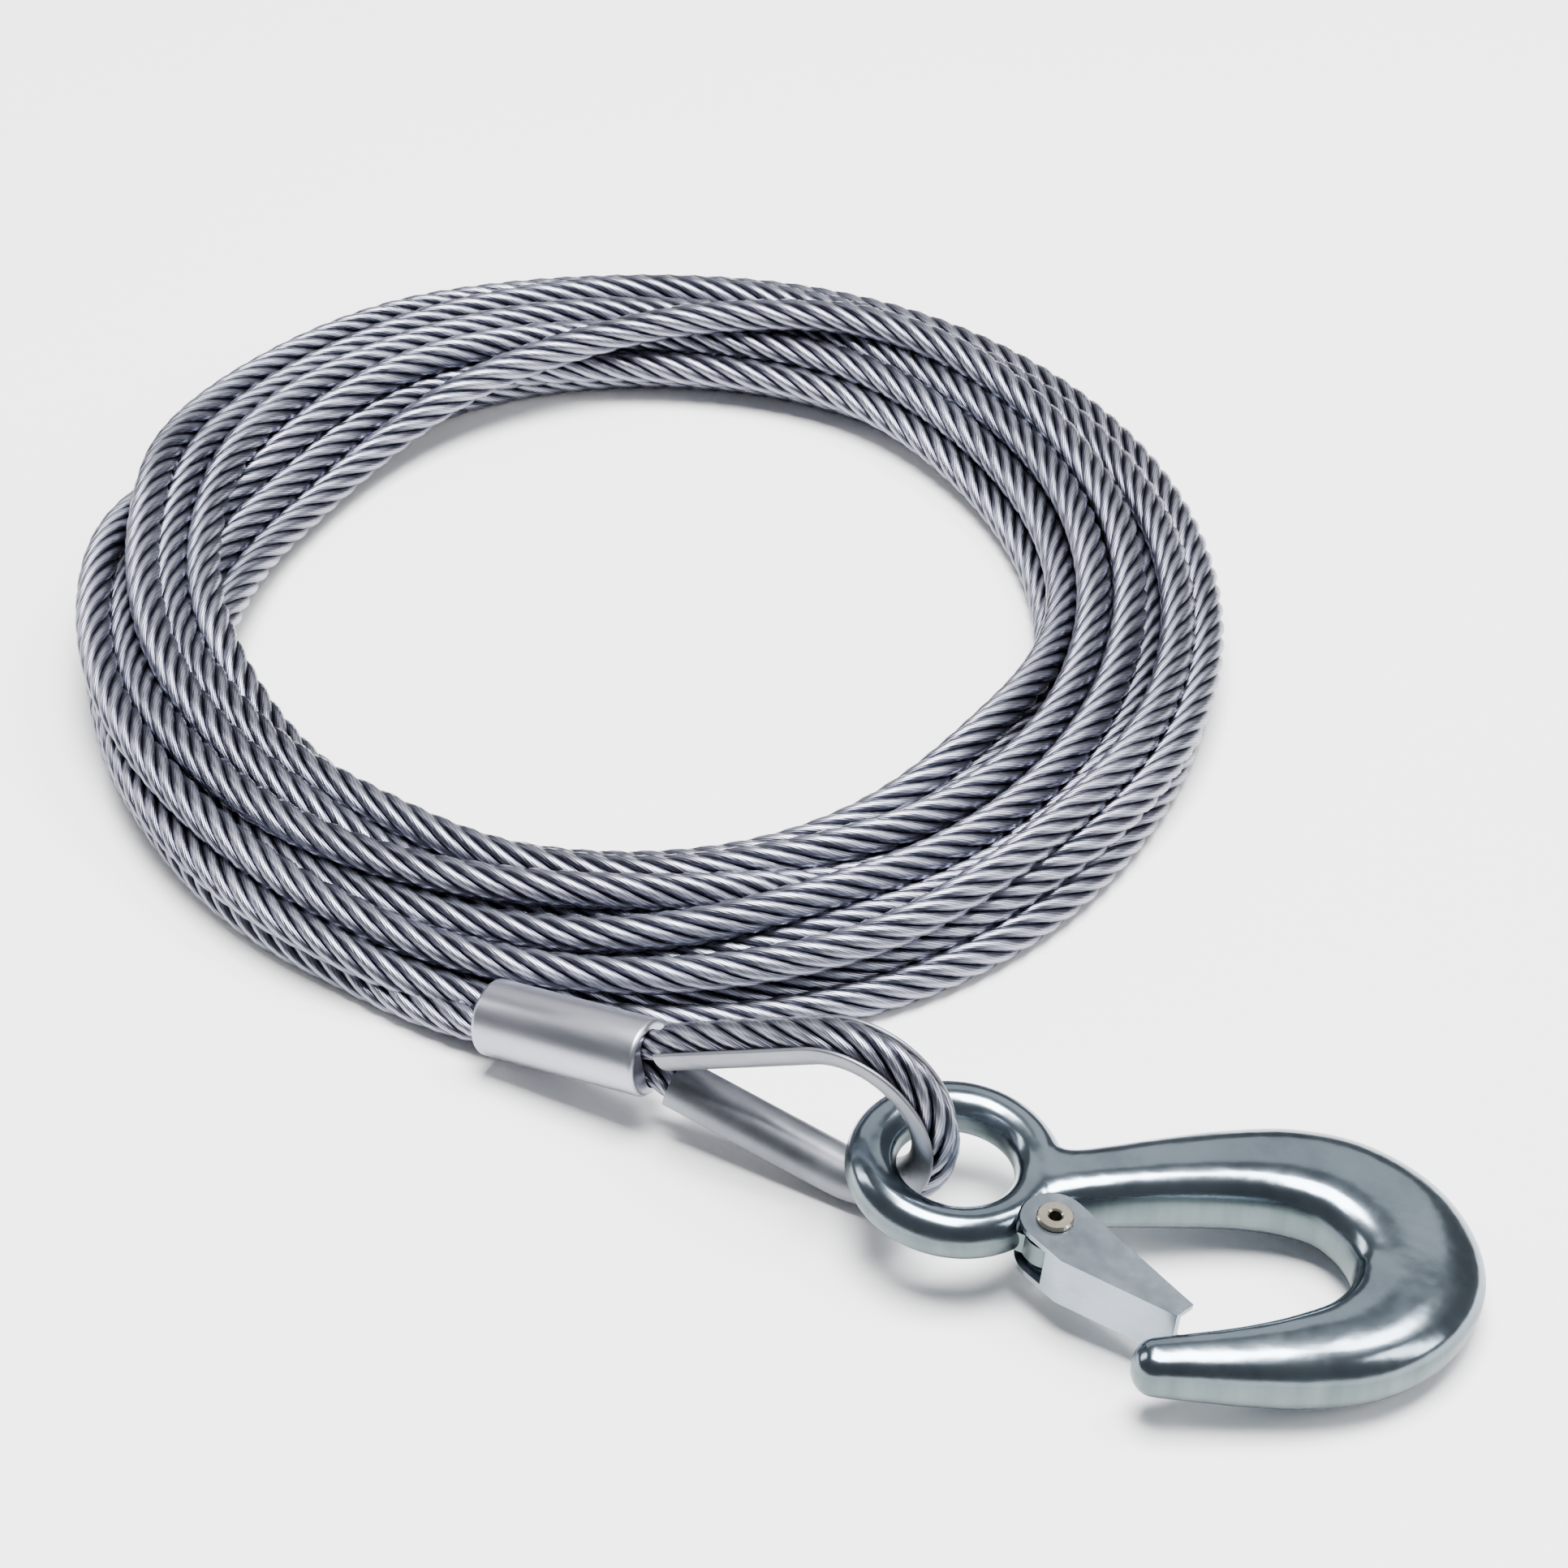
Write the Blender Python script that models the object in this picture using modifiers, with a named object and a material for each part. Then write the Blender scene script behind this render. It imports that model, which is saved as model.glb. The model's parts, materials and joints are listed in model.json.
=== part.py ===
"""Winch cable with a snap hook: a coiled wire rope, its ferrule and thimble eye, and a forged hook with a
sprung latch. Metres, +Z up. The pull line runs along +X and the coil lies flat beside it."""

from math import acos, asin, atan2, copysign, cos, pi, radians, sin, sqrt, tan

import bmesh
import bpy
from mathutils import Matrix, Vector

MM = 0.001

# Wire rope and its coil
ROPE_DIAMETER = 5.0 * MM
COIL_OUTER_RADIUS = 80.5 * MM
COIL_WIDTH = 21.5 * MM
COIL_HEIGHT = 12.0 * MM
COIL_CORNER = 2.5 * MM  # rounding of the bundle's section, about half a rope
COIL_SIDE_STEPS = 96
COIL_CORNER_STEPS = 5
LEAD_FOOT = 24.5 * MM  # how far behind the ferrule the rope leaves the coil
LEAD_RISE = 1.78 * MM  # how far the rope climbs to reach the ferrule
# The lead's route: x, and how far the rope has risen off the floor
LEAD_ROUTE = [
    (-25.0 * MM, 0.06 * MM),
    (-19.0 * MM, 0.16 * MM),
    (-13.0 * MM, 0.42 * MM),
    (-7.0 * MM, 0.92 * MM),
]
TUBE_SIDES = 2  # bevel_resolution of the rope and of the spring's wire

# Clearances
TOUCH_GAP = 0.3 * MM  # pieces that touch
RUN_GAP = 0.1 * MM  # a pin in its hole, on the radius
FLOOR_GAP = 0.1 * MM  # a piece that rests on the floor

# Ferrule, pressed over both runs of the rope
FERRULE_LENGTH = 24.0 * MM
FERRULE_TO_ROPE = 2.0  # the ferrule's diameter over the rope's
FERRULE_EDGE = 0.7 * MM
PRESSED_SHARE = 0.74  # the pressed rope's radius over the free rope's
DEAD_END_STANDS_OUT = 0.5 * MM
PRESS_TAPER = 2.6 * MM  # length over which the rope narrows to its pressed size
PRESS_MOUTH = 0.6 * MM  # it is fully pressed this far outside the ferrule

# Thimble: a U channel bent to a teardrop
THIMBLE_BOW_RADIUS = 8.15 * MM  # inside the bow
THIMBLE_WALL = 0.7 * MM
THIMBLE_FLANGE = 0.6 * MM  # how far the flanges pass the rope's centre
THIMBLE_REACH = 52.6 * MM  # ferrule's outer end to the bow's centre
THIMBLE_LEG_ANGLE = radians(19.0)

# Forged hook, in its own plane: x from the eye's centre towards the bowl, y towards the shank
EYE_MEAN_RADIUS = 10.3 * MM
EYE_TUBE_RADIUS = 3.15 * MM
HOOK_YAW = radians(16.5)  # how far the hook lies off the pull line
EYE_SET_OFF = 3.2 * MM  # swing axis to the eye's centre
EYE_DROP = 4.05 * MM  # the eye's centre hangs this far below the bow's centre
EYE_SLACK = 0.65 * MM  # between the eye and the thimble's bow
BOWL_THICKNESS = 9.8 * MM
BOWL_REST = 59.0 * MM  # eye's centre to where the bowl rests
HOOK_INNER_SWELL = 0.10  # the inside of the section is this much thicker than its middle
SECTION_SQUARENESS = 2.7
SECTION_POINTS = 24

# Each station of the forging: x, y, width in the plane, thickness
HOOK_STATIONS = [
    (9.6 * MM, 0.6 * MM, 13.6 * MM, 5.6 * MM),
    (11.9 * MM, 0.8 * MM, 10.6 * MM, 6.6 * MM),
    (14.6 * MM, 1.3 * MM, 9.2 * MM, 7.5 * MM),
    (19.0 * MM, 2.8 * MM, 9.6 * MM, 8.5 * MM),
    (25.5 * MM, 5.4 * MM, 10.8 * MM, 9.2 * MM),
    (33.0 * MM, 8.1 * MM, 12.3 * MM, 9.6 * MM),
    (40.0 * MM, 9.6 * MM, 14.0 * MM, BOWL_THICKNESS),
    (46.8 * MM, 9.0 * MM, 15.4 * MM, BOWL_THICKNESS),
    (53.0 * MM, 5.0 * MM, 16.4 * MM, BOWL_THICKNESS),
    (56.4 * MM, -1.6 * MM, 16.0 * MM, BOWL_THICKNESS),
    (55.2 * MM, -8.8 * MM, 14.4 * MM, BOWL_THICKNESS),
    (50.9 * MM, -14.6 * MM, 12.6 * MM, 9.7 * MM),
    (44.8 * MM, -18.4 * MM, 10.6 * MM, 9.5 * MM),
    (38.4 * MM, -21.0 * MM, 8.6 * MM, 8.7 * MM),
    (32.2 * MM, -22.9 * MM, 7.0 * MM, 7.7 * MM),
    (27.6 * MM, -24.2 * MM, 6.0 * MM, 6.8 * MM),
]
HOOK_TIP_LENGTH = 2.7 * MM
STEPS_PER_STATION = 4
TIP_STEPS = 5

# Latch: a folded sheet channel over an ear on the hook's neck
PIVOT_X = 13.0 * MM
PIVOT_Y = -7.9 * MM
EAR_RADIUS = 3.5 * MM
EAR_THICKNESS = 3.1 * MM
LATCH_SHEET = 0.8 * MM
LATCH_INSIDE = 5.6 * MM  # between the cheeks
LATCH_CHEEK_RADIUS = 4.1 * MM
LATCH_EDGE = 0.3 * MM
LATCH_NOSE_WIDTH = 2.7 * MM
LATCH_NOSE_RUN = 0.9 * MM  # the nose leans forward by this
WEB_ANGLE = radians(-17.5)
WEB_SET_OFF = 5.55 * MM  # pivot to the web's outer face
WEB_START = 3.6 * MM  # along the web, from the foot of the pivot
WEB_END = 18.6 * MM
POCKET_REACH = 60.0 * MM  # cutters are longer than what they cut
RELIEF_DEPTH = 6.0 * MM
EAR_STEP = 0.12 * MM  # the ear's faces stand below the relief's floor
EAR_ROOT = [(14.0 * MM, 1.0 * MM), (9.3 * MM, 0.5 * MM), (6.35 * MM, -8.92 * MM)]  # inside the neck and ring

# Rivet and spring
RIVET_RADIUS = 1.5 * MM
RIVET_BORE_RADIUS = 0.8 * MM
RIVET_HEAD_RADIUS = 2.25 * MM
RIVET_HEAD_HEIGHT = 0.55 * MM
RIVET_EDGE = 0.2 * MM
SPRING_WIRE = 0.7 * MM
SPRING_LEG = 3.6 * MM
SPRING_BRIDGE = 5.2 * MM  # along the web, to where the wire crosses it

# Worked out from the sizes above
ROPE_RADIUS = ROPE_DIAMETER / 2
FERRULE_DIAMETER = ROPE_DIAMETER * FERRULE_TO_ROPE
PRESSED_ROPE_RADIUS = ROPE_RADIUS * PRESSED_SHARE
PRESSED_OFFSET = PRESSED_ROPE_RADIUS + TOUCH_GAP / 2  # rope centre to ferrule centre
GROOVE_RADIUS = ROPE_RADIUS + TOUCH_GAP
GROOVE_OUTER = GROOVE_RADIUS + THIMBLE_WALL
EYE_ROPE_RADIUS = THIMBLE_BOW_RADIUS + GROOVE_OUTER
BOW_OUTER_RADIUS = EYE_ROPE_RADIUS + ROPE_RADIUS
BOW_CENTRE_Z = BOW_OUTER_RADIUS + FLOOR_GAP
LINE_PITCH = asin((BOW_CENTRE_Z - ROPE_RADIUS - LEAD_RISE - PRESSED_OFFSET) / THIMBLE_REACH)
LINE_START_Z = BOW_CENTRE_Z - THIMBLE_REACH * sin(LINE_PITCH)
COIL_CENTRE_X = -LEAD_FOOT
COIL_CENTRE_Y = COIL_OUTER_RADIUS + TOUCH_GAP + ROPE_RADIUS + RUN_GAP
EYE_HEIGHT = BOW_CENTRE_Z - EYE_DROP
HOOK_PITCH = asin((EYE_HEIGHT - BOWL_THICKNESS / 2 - FLOOR_GAP) / BOWL_REST)
EYE_NEAR_DROP = EYE_DROP - EYE_MEAN_RADIUS * sin(HOOK_PITCH)
EYE_PAST_BOW = sqrt((THIMBLE_BOW_RADIUS - EYE_TUBE_RADIUS - EYE_SLACK) ** 2 - EYE_NEAR_DROP**2)
EYE_CENTRE_X = THIMBLE_REACH * cos(LINE_PITCH) + EYE_PAST_BOW + EYE_MEAN_RADIUS
SWING_X = EYE_CENTRE_X - EYE_SET_OFF * cos(HOOK_YAW)
LATCH_HALF = LATCH_INSIDE / 2 + LATCH_SHEET

COLLECTION = "winch_cable_with_snap_hook"


def clear_scene():
    for obj in list(bpy.data.objects):
        bpy.data.objects.remove(obj)


def new_collection(name):
    made = bpy.data.collections.new(name)
    bpy.context.scene.collection.children.link(made)
    return made


def material(name, colour, roughness, metallic=1.0):
    made = bpy.data.materials.new(name)
    made.use_nodes = True
    shader = made.node_tree.nodes["Principled BSDF"]
    shader.inputs["Base Color"].default_value = (*colour, 1.0)
    shader.inputs["Roughness"].default_value = roughness
    shader.inputs["Metallic"].default_value = metallic
    return made


def empty(name, location, rotation=(0, 0, 0), parent=None):
    made = bpy.data.objects.new(name, None)
    made.location = location
    made.rotation_euler = rotation
    made.parent = parent
    parts.objects.link(made)
    return made


def add(name, data, parent=None, finish=None, collection=None):
    made = bpy.data.objects.new(name, data)
    made.parent = parent
    if finish:
        data.materials.append(finish)
    (collection or parts).objects.link(made)
    return made


def cutter(name, data, parent=None):
    made = add(name, data, parent, collection=cutters)
    made.hide_render = True
    made.display_type = "WIRE"
    return made


def boolean(target, other, operation):
    modifier = target.modifiers.new(f"{operation.lower()}_{other.name}", "BOOLEAN")
    modifier.object = other
    modifier.operation = operation
    modifier.solver = "EXACT"


def bevel(target, width, segments=2, angle=radians(40)):
    modifier = target.modifiers.new("edges", "BEVEL")
    modifier.width = width
    modifier.segments = segments
    modifier.limit_method = "ANGLE"
    modifier.angle_limit = angle


def smooth(mesh):
    mesh.shade_smooth()
    mesh.set_sharp_from_angle(angle=radians(35))


def finished_mesh(bm, name, matrix=None):
    if matrix:
        bm.transform(matrix)
    bmesh.ops.recalc_face_normals(bm, faces=bm.faces)
    mesh = bpy.data.meshes.new(name)
    bm.to_mesh(mesh)
    bm.free()
    smooth(mesh)
    return mesh


def cylinder(name, radius, length, matrix=None, sides=48):
    """A cylinder along Z, centred on its middle."""
    bm = bmesh.new()
    bmesh.ops.create_cone(bm, cap_ends=True, segments=sides, radius1=radius, radius2=radius, depth=length)
    return finished_mesh(bm, name, matrix)


def box(name, size, matrix=None):
    bm = bmesh.new()
    bmesh.ops.create_cube(bm, size=1.0)
    bmesh.ops.scale(bm, vec=Vector(size), verts=bm.verts)
    return finished_mesh(bm, name, matrix)


def turned(name, profile, steps, finish, parent):
    """A profile of (radius, height) points turned about Z: the outer side runs from top to bottom."""
    bm = bmesh.new()
    corners = [bm.verts.new((radius, 0, height)) for radius, height in profile]
    for first, second in zip(corners, corners[1:] + corners[:1]):
        bm.edges.new((first, second))
    mesh = bpy.data.meshes.new(name)
    bm.to_mesh(mesh)
    bm.free()
    made = add(name, mesh, parent, finish)
    screw = made.modifiers.new("turn", "SCREW")
    screw.axis = "Z"
    screw.steps = steps
    screw.render_steps = steps
    screw.use_merge_vertices = True
    screw.merge_threshold = 0.0001 * MM
    screw.use_smooth_shade = True
    return made


def loft(name, rings):
    """A closed skin over rings with the same number of points, with flat ends."""
    bm = bmesh.new()
    rows = [[bm.verts.new(point) for point in ring] for ring in rings]
    for row, after in zip(rows, rows[1:]):
        for i in range(len(row)):
            j = (i + 1) % len(row)
            bm.faces.new((row[i], row[j], after[j], after[i]))
    bm.faces.new(rows[0])
    bm.faces.new(rows[-1])
    return finished_mesh(bm, name)


def outline(name, points, height, matrix=None):
    """A flat outline of (x, y) points, height thick about its own plane, as a closed mesh."""
    curve = bpy.data.curves.new(name, "CURVE")
    curve.dimensions = "2D"
    curve.fill_mode = "BOTH"
    curve.extrude = height / 2
    spline = curve.splines.new("POLY")
    spline.points.add(len(points) - 1)
    for point, (x, y) in zip(spline.points, points):
        point.co = (x, y, 0, 1)
    spline.use_cyclic_u = True
    return mesh_of_curve(curve, name, matrix)


def mesh_of_curve(curve, name, matrix=None):
    holder = bpy.data.objects.new(name, curve)
    parts.objects.link(holder)
    bpy.context.view_layer.update()
    graph = bpy.context.evaluated_depsgraph_get()
    mesh = bpy.data.meshes.new_from_object(holder.evaluated_get(graph))
    bm = bmesh.new()
    bm.from_mesh(mesh)
    bmesh.ops.remove_doubles(bm, verts=bm.verts, dist=0.001 * MM)
    bpy.data.objects.remove(holder)
    bpy.data.curves.remove(curve)
    bpy.data.meshes.remove(mesh)
    return finished_mesh(bm, name, matrix)


def tube(name, points, radius, shares=None):
    """A tube on a POLY spline through the points, with filled ends. Shares narrow it point by point."""
    curve = bpy.data.curves.new(name, "CURVE")
    curve.dimensions = "3D"
    curve.bevel_depth = radius
    curve.bevel_resolution = TUBE_SIDES
    curve.use_fill_caps = True
    spline = curve.splines.new("POLY")
    spline.points.add(len(points) - 1)
    for i, co in enumerate(points):
        spline.points[i].co = (*co, 1)
        spline.points[i].radius = shares[i] if shares else 1.0
    spline.use_smooth = True
    return curve


def through(points, per_span):
    """Points on a Catmull-Rom curve through the given ones."""
    given = [Vector(p) for p in points]
    padded = [2 * given[0] - given[1], *given, 2 * given[-1] - given[-2]]
    found = []
    for i in range(len(given) - 1):
        a, b, c, d = padded[i : i + 4]
        for k in range(per_span):
            t = k / per_span
            found.append(
                0.5 * (2 * b + (c - a) * t + (2 * a - 5 * b + 4 * c - d) * t**2 + (3 * b - a - 3 * c + d) * t**3)
            )
    found.append(given[-1])
    return found


def arc(centre, radius, start, end, steps):
    turn = (end - start) / steps
    return [
        (centre[0] + radius * cos(start + turn * i), centre[1] + radius * sin(start + turn * i))
        for i in range(steps + 1)
    ]


# The rope


def bundle_profile():
    """The bundle's rounded section, anticlockwise seen with +X right and +Z up, reversed for the Screw."""
    inner = COIL_OUTER_RADIUS - COIL_WIDTH
    low, high = COIL_CORNER, COIL_HEIGHT - COIL_CORNER
    left, right = inner + COIL_CORNER, COIL_OUTER_RADIUS - COIL_CORNER
    corners = [((right, high), 90, 0), ((right, low), 0, -90), ((left, low), -90, -180), ((left, high), 180, 90)]
    profile = []
    for centre, start, end in corners:
        profile += arc(centre, COIL_CORNER, radians(start), radians(end), COIL_CORNER_STEPS)
    return profile


def rope_coil(finish):
    made = turned("rope_coil", bundle_profile(), COIL_SIDE_STEPS, finish, assembly)
    made.location = (COIL_CENTRE_X, COIL_CENTRE_Y, 0)


def leg_height(along):
    """Rope centre above the line on a leg of the eye, at a distance along the line."""
    touch = THIMBLE_REACH - EYE_ROPE_RADIUS * sin(THIMBLE_LEG_ANGLE)
    return EYE_ROPE_RADIUS * cos(THIMBLE_LEG_ANGLE) - (touch - along) * tan(THIMBLE_LEG_ANGLE)


def eye_half(first, leg_points, bow_steps):
    """Rope centres of the eye's upper half in the line's own plane, from a leg to the bow's far side."""
    touch = THIMBLE_REACH - EYE_ROPE_RADIUS * sin(THIMBLE_LEG_ANGLE)
    leg = [
        (first + (touch - first) * i / leg_points, leg_height(first + (touch - first) * i / leg_points))
        for i in range(leg_points)
    ]
    return leg + arc((THIMBLE_REACH, 0), EYE_ROPE_RADIUS, pi / 2 + THIMBLE_LEG_ANGLE, 0, bow_steps)


def rope_eye(finish):
    """The live run from the coil, through the ferrule, round the thimble and back to its dead end."""
    pitch = Matrix.Rotation(-LINE_PITCH, 4, "Y")
    start = Vector((0, 0, LINE_START_Z))
    clear = FERRULE_LENGTH + PRESS_TAPER
    upper = eye_half(clear, 5, 9)
    rows = [(-PRESS_TAPER, -PRESSED_OFFSET, 1.0), (-PRESS_MOUTH, -PRESSED_OFFSET, PRESSED_SHARE)]
    pressed = [FERRULE_LENGTH * i / 3 for i in range(4)] + [FERRULE_LENGTH + PRESS_MOUTH]
    rows += [(x, -PRESSED_OFFSET, PRESSED_SHARE) for x in pressed]
    rows += [(x, -z, 1.0) for x, z in upper]
    rows += [(x, z, 1.0) for x, z in reversed(upper[:-1])]
    rows += [(x, PRESSED_OFFSET, PRESSED_SHARE) for x in reversed(pressed)]
    rows += [(-DEAD_END_STANDS_OUT, PRESSED_OFFSET, PRESSED_SHARE)]
    points = [Vector((x, 0, ROPE_RADIUS + rise)) for x, rise in LEAD_ROUTE]
    points += [start + pitch @ Vector((x, 0, z)) for x, z, _ in rows]
    shares = [1.0] * len(LEAD_ROUTE) + [share for _, _, share in rows]
    add("rope_eye", tube("rope_eye", points, ROPE_RADIUS, shares), assembly, finish)


# What is pressed and bent round it


def ferrule(finish):
    across = Matrix.Rotation(pi / 2, 4, "Y")
    middle = Matrix.Translation((FERRULE_LENGTH / 2, 0, 0))
    made = add("ferrule", cylinder("ferrule", FERRULE_DIAMETER / 2, FERRULE_LENGTH, middle @ across), line, finish)
    bevel(made, FERRULE_EDGE, 3)
    bore = PRESSED_ROPE_RADIUS + TOUCH_GAP
    oval = arc((0, PRESSED_OFFSET), bore, 0, pi, 14) + arc((0, -PRESSED_OFFSET), bore, pi, 2 * pi, 14)
    end_on = middle @ Matrix.Rotation(pi / 2, 4, "Z") @ Matrix.Rotation(pi / 2, 4, "X")
    both_runs = outline("ferrule_bore", oval, 2 * FERRULE_LENGTH, end_on)
    boolean(made, cutter("ferrule_bore", both_runs, line), "DIFFERENCE")


def channel_section():
    """The thimble's U, as (outwards, sideways) from the rope's centre, round to a closed loop."""
    outer = arc((0, 0), GROOVE_OUTER, pi / 2, 3 * pi / 2, 12)
    inner = arc((0, 0), GROOVE_RADIUS, 3 * pi / 2, pi / 2, 12)
    return (
        [(THIMBLE_FLANGE, GROOVE_OUTER)]
        + outer
        + [(THIMBLE_FLANGE, -GROOVE_OUTER), (THIMBLE_FLANGE, -GROOVE_RADIUS)]
        + inner
        + [(THIMBLE_FLANGE, GROOVE_RADIUS)]
    )


def thimble(finish):
    """The channel lofted along the rope's own centre line, from one pointed end to the other."""
    first = THIMBLE_REACH - EYE_ROPE_RADIUS * sin(THIMBLE_LEG_ANGLE)
    meets = GROOVE_OUTER * cos(THIMBLE_LEG_ANGLE) + TOUCH_GAP / 2
    first -= (EYE_ROPE_RADIUS * cos(THIMBLE_LEG_ANGLE) - meets) / tan(THIMBLE_LEG_ANGLE)
    upper = eye_half(first, 4, 12)
    path = upper + [(x, -z) for x, z in reversed(upper[:-1])]
    rings = []
    for i, (x, z) in enumerate(path):
        ahead = path[min(i + 1, len(path) - 1)]
        behind = path[max(i - 1, 0)]
        heading = atan2(ahead[1] - behind[1], ahead[0] - behind[0])
        outwards = Vector((-sin(heading), 0, cos(heading)))
        rings.append([Vector((x, 0, z)) + outwards * out + Vector((0, side, 0)) for out, side in channel_section()])
    add("thimble", loft("thimble", rings), line, finish)


# The hook


def squared_off(value):
    """A sine or cosine bent from a round section towards a square one."""
    return copysign(abs(value) ** (2 / SECTION_SQUARENESS), value)


def hook_sections():
    """Rings of points along the forging, from inside the eye to its rounded tip."""
    stations = [Vector((x, y, 0)) for x, y, _, _ in HOOK_STATIONS]
    sizes = [Vector((w, t, 0)) for _, _, w, t in HOOK_STATIONS]
    centres = through(stations, STEPS_PER_STATION)
    widths = through(sizes, STEPS_PER_STATION)
    tip_way = (centres[-1] - centres[-2]).normalized()
    last, last_size = centres[-1], widths[-1]
    for i in range(1, TIP_STEPS + 1):
        turn = 0.97 * pi / 2 * i / TIP_STEPS
        centres.append(last + tip_way * HOOK_TIP_LENGTH * sin(turn))
        widths.append(last_size * cos(turn))
    rings = []
    for i, centre in enumerate(centres):
        way = (centres[min(i + 1, len(centres) - 1)] - centres[max(i - 1, 0)]).normalized()
        outwards = Vector((-way.y, way.x, 0))
        ring = []
        for k in range(SECTION_POINTS):
            turn = 2 * pi * k / SECTION_POINTS
            across = squared_off(cos(turn))
            up = squared_off(sin(turn)) * (1 - HOOK_INNER_SWELL * across)
            ring.append(centre + outwards * across * widths[i].x / 2 + Vector((0, 0, up * widths[i].y / 2)))
        rings.append(ring)
    return rings


def hook_eye_ring():
    bm = bmesh.new()
    profile = [
        bm.verts.new((EYE_MEAN_RADIUS + EYE_TUBE_RADIUS * cos(a), 0, EYE_TUBE_RADIUS * sin(a)))
        for a in [-2 * pi * i / 20 for i in range(20)]
    ]
    edges = [bm.edges.new((a, b)) for a, b in zip(profile, profile[1:] + profile[:1])]
    bmesh.ops.spin(bm, geom=profile + edges, axis=(0, 0, 1), cent=(0, 0, 0), angle=2 * pi, steps=48, use_merge=True)
    bmesh.ops.remove_doubles(bm, verts=bm.verts, dist=0.001 * MM)
    return finished_mesh(bm, "eye_ring")


def ear_outline():
    """The ear round the pivot, reaching back into the eye ring and the neck."""
    return arc((PIVOT_X, PIVOT_Y), EAR_RADIUS, radians(-150), radians(30), 16) + EAR_ROOT


def snap_hook(finish):
    made = add("snap_hook", loft("snap_hook", hook_sections()), hook_frame, finish)
    boolean(made, cutter("eye_ring", hook_eye_ring(), hook_frame), "UNION")
    at_pivot = Matrix.Translation((PIVOT_X, PIVOT_Y, 0))
    relief = LATCH_CHEEK_RADIUS + TOUCH_GAP
    for name, side in (("relief_top", 1), ("relief_bottom", -1)):
        lift = Matrix.Translation((0, 0, side * (EAR_THICKNESS / 2 + EAR_STEP + RELIEF_DEPTH / 2)))
        cheek_room = cylinder(name, relief, RELIEF_DEPTH, at_pivot @ lift)
        boolean(made, cutter(name, cheek_room, hook_frame), "DIFFERENCE")
    boolean(made, cutter("ear", outline("ear", ear_outline(), EAR_THICKNESS), hook_frame), "UNION")
    hole = cylinder("pivot_hole", RIVET_RADIUS + RUN_GAP, 3 * BOWL_THICKNESS, at_pivot)
    boolean(made, cutter("pivot_hole", hole, hook_frame), "DIFFERENCE")


# The latch, its rivet and its spring, all about the pivot


def latch_outline():
    """One cheek seen from above, with the pivot at the origin and the web along its lower edge."""
    along = Vector((cos(WEB_ANGLE), sin(WEB_ANGLE)))
    out = Vector((sin(WEB_ANGLE), -cos(WEB_ANGLE)))
    start = along * WEB_START + out * WEB_SET_OFF
    end = along * WEB_END + out * WEB_SET_OFF
    nose = end - out * LATCH_NOSE_WIDTH + along * LATCH_NOSE_RUN
    upper = atan2(nose.y, nose.x) + acos(LATCH_CHEEK_RADIUS / nose.length)
    lower = atan2(start.y, start.x) - acos(LATCH_CHEEK_RADIUS / start.length)
    rounded = arc((0, 0), LATCH_CHEEK_RADIUS, upper, lower + 2 * pi, 20)
    return rounded + [tuple(start), tuple(end), tuple(nose)]


def latch(finish):
    made = add("latch", outline("latch", latch_outline(), 2 * LATCH_HALF), latch_frame, finish)
    bevel(made, LATCH_EDGE, 2)
    inner_face = WEB_SET_OFF - LATCH_SHEET
    turn = Matrix.Rotation(WEB_ANGLE, 4, "Z")
    middle = turn @ Matrix.Translation((0, POCKET_REACH / 2 - inner_face, 0))
    pocket = box("latch_pocket", (2 * POCKET_REACH, POCKET_REACH, LATCH_INSIDE), middle)
    boolean(made, cutter("latch_pocket", pocket, latch_frame), "DIFFERENCE")
    hole = cylinder("latch_hole", RIVET_RADIUS + RUN_GAP, 4 * LATCH_HALF)
    boolean(made, cutter("latch_hole", hole, latch_frame), "DIFFERENCE")


def rivet(finish):
    """A tubular rivet: shank through both cheeks and the ear, a rolled head at each end."""
    seat = LATCH_HALF + RUN_GAP
    top = seat + RIVET_HEAD_HEIGHT
    profile = [
        (RIVET_BORE_RADIUS + RIVET_EDGE, top),
        (RIVET_HEAD_RADIUS - RIVET_EDGE, top),
        (RIVET_HEAD_RADIUS, top - RIVET_EDGE),
        (RIVET_HEAD_RADIUS, seat),
        (RIVET_RADIUS, seat),
        (RIVET_RADIUS, -seat),
        (RIVET_HEAD_RADIUS, -seat),
        (RIVET_HEAD_RADIUS, RIVET_EDGE - top),
        (RIVET_HEAD_RADIUS - RIVET_EDGE, -top),
        (RIVET_BORE_RADIUS + RIVET_EDGE, -top),
        (RIVET_BORE_RADIUS, RIVET_EDGE - top),
        (RIVET_BORE_RADIUS, top - RIVET_EDGE),
    ]
    turned("latch_rivet", profile, 40, finish, latch_frame)


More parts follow.
